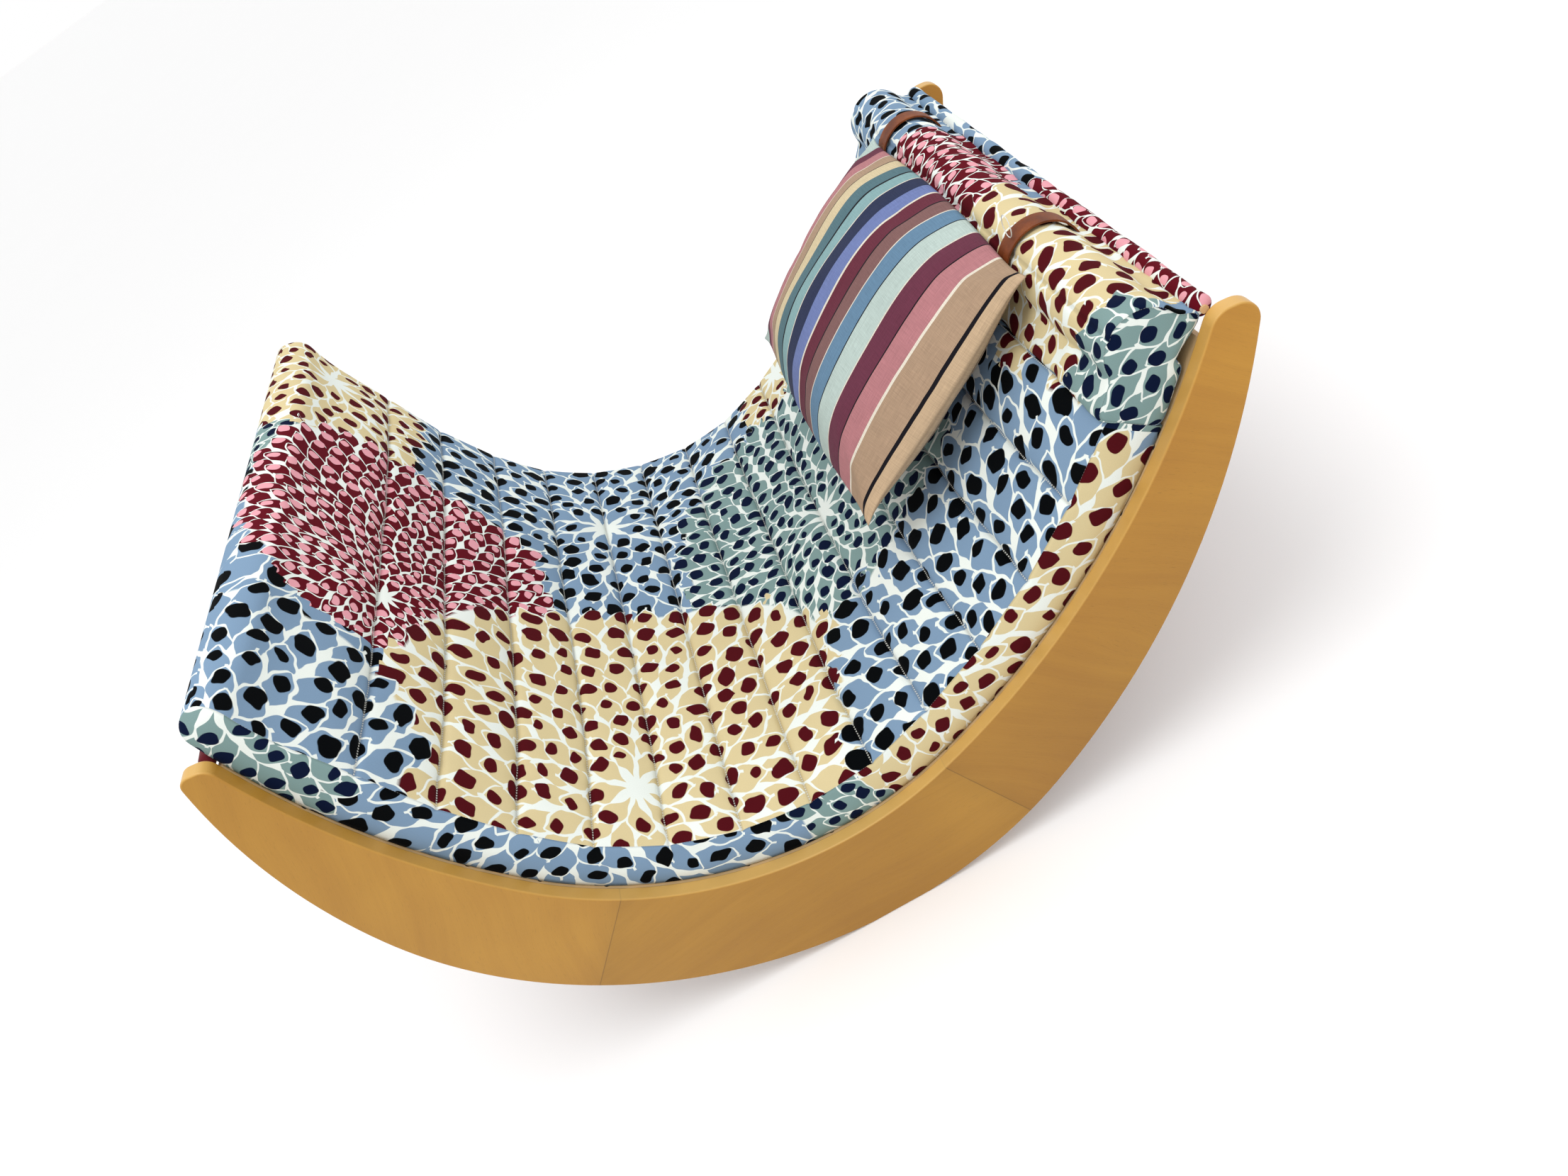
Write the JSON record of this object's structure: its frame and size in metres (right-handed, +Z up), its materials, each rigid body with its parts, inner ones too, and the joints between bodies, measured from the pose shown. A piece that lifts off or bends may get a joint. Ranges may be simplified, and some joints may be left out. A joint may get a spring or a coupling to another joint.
{
  "type": "crescent rocking lounge",
  "caption": "Double-width rocking lounge: crescent wooden rocker panels, a bent shell, a channel-quilted mattress with head roll, and a pillow hung on leather straps.",
  "frame": {"origin": "on the floor, under the middle of the whole lounge's box, where it stands in balance on its two rocker panels", "axes": "+X towards the head end, +Y across the lounge towards the right-hand panel as an occupant lies, +Z up"},
  "size_m": [1.3546, 1.065, 0.8797],
  "materials": {
    "honey_beech": "satin",
    "beech_joinery": "matte",
    "plain_beech": "satin",
    "shell_plywood": "satin",
    "dark_red_cloth": "matte",
    "petal_print_cotton": "matte",
    "striped_cotton": "matte",
    "wadding": "matte",
    "brown_leather": "satin",
    "rod_steel": "satin",
    "screw_steel": "satin",
    "white_plastic_tie": "satin"
  },
  "bodies": {
    "frame": {"back_cover_foot": "dark_red_cloth", "back_cover_head": "dark_red_cloth", "back_cover_seat": "dark_red_cloth", "back_rail": "plain_beech", "foot_rail": "plain_beech", "foot_rim_bar": "plain_beech", "foot_rim_pad": "dark_red_cloth", "front_seat_rail": "plain_beech", "head_rim_bar": "plain_beech", "head_rim_pad": "petal_print_cotton", "head_roll_cover": "petal_print_cotton", "head_roll_filling": "wadding", "left_boxing_strip": "petal_print_cotton", "left_glue_blocks": "plain_beech", "left_panel_foot": "honey_beech", "left_panel_head": "honey_beech", "left_panel_seat": "honey_beech", "left_panel_tongues": "beech_joinery", "mattress_channel_01": "petal_print_cotton", "mattress_channel_02": "petal_print_cotton", "mattress_channel_03": "petal_print_cotton", "mattress_channel_04": "petal_print_cotton", "mattress_channel_05": "petal_print_cotton", "mattress_channel_06": "petal_print_cotton", "mattress_channel_07": "petal_print_cotton", "mattress_channel_08": "petal_print_cotton", "mattress_channel_09": "petal_print_cotton", "mattress_channel_10": "petal_print_cotton", "mattress_channel_11": "petal_print_cotton", "mattress_channel_12": "petal_print_cotton", "mattress_channel_13": "petal_print_cotton", "rail_dowels": "beech_joinery", "rear_seat_rail": "plain_beech", "right_boxing_strip": "petal_print_cotton", "right_glue_blocks": "plain_beech", "right_panel_foot": "honey_beech", "right_panel_head": "honey_beech", "right_panel_seat": "honey_beech", "right_panel_tongues": "beech_joinery", "shell_foot": "shell_plywood", "shell_head": "shell_plywood", "shell_screws": "screw_steel", "shell_seat": "shell_plywood"},
    "carrier": {"left_strap": "brown_leather", "right_strap": "brown_leather", "strap_rod": "rod_steel", "pillow_tie": "white_plastic_tie"},
    "pillow": {"pillow_cover": "striped_cotton", "pillow_filling": "wadding"}
  },
  "joints": [
    {"name": "pillow_slide", "type": "slide", "parent": "frame", "child": "carrier", "axis": [0, 1, 0], "range_m": [-0.19, 0.15]},
    {"name": "pillow_lift", "type": "hinge", "parent": "carrier", "child": "pillow", "pos_m": [0.50353, 0.01, 0.70482], "axis": [0, 1, 0], "range_deg": [0, 60]}
  ]
}
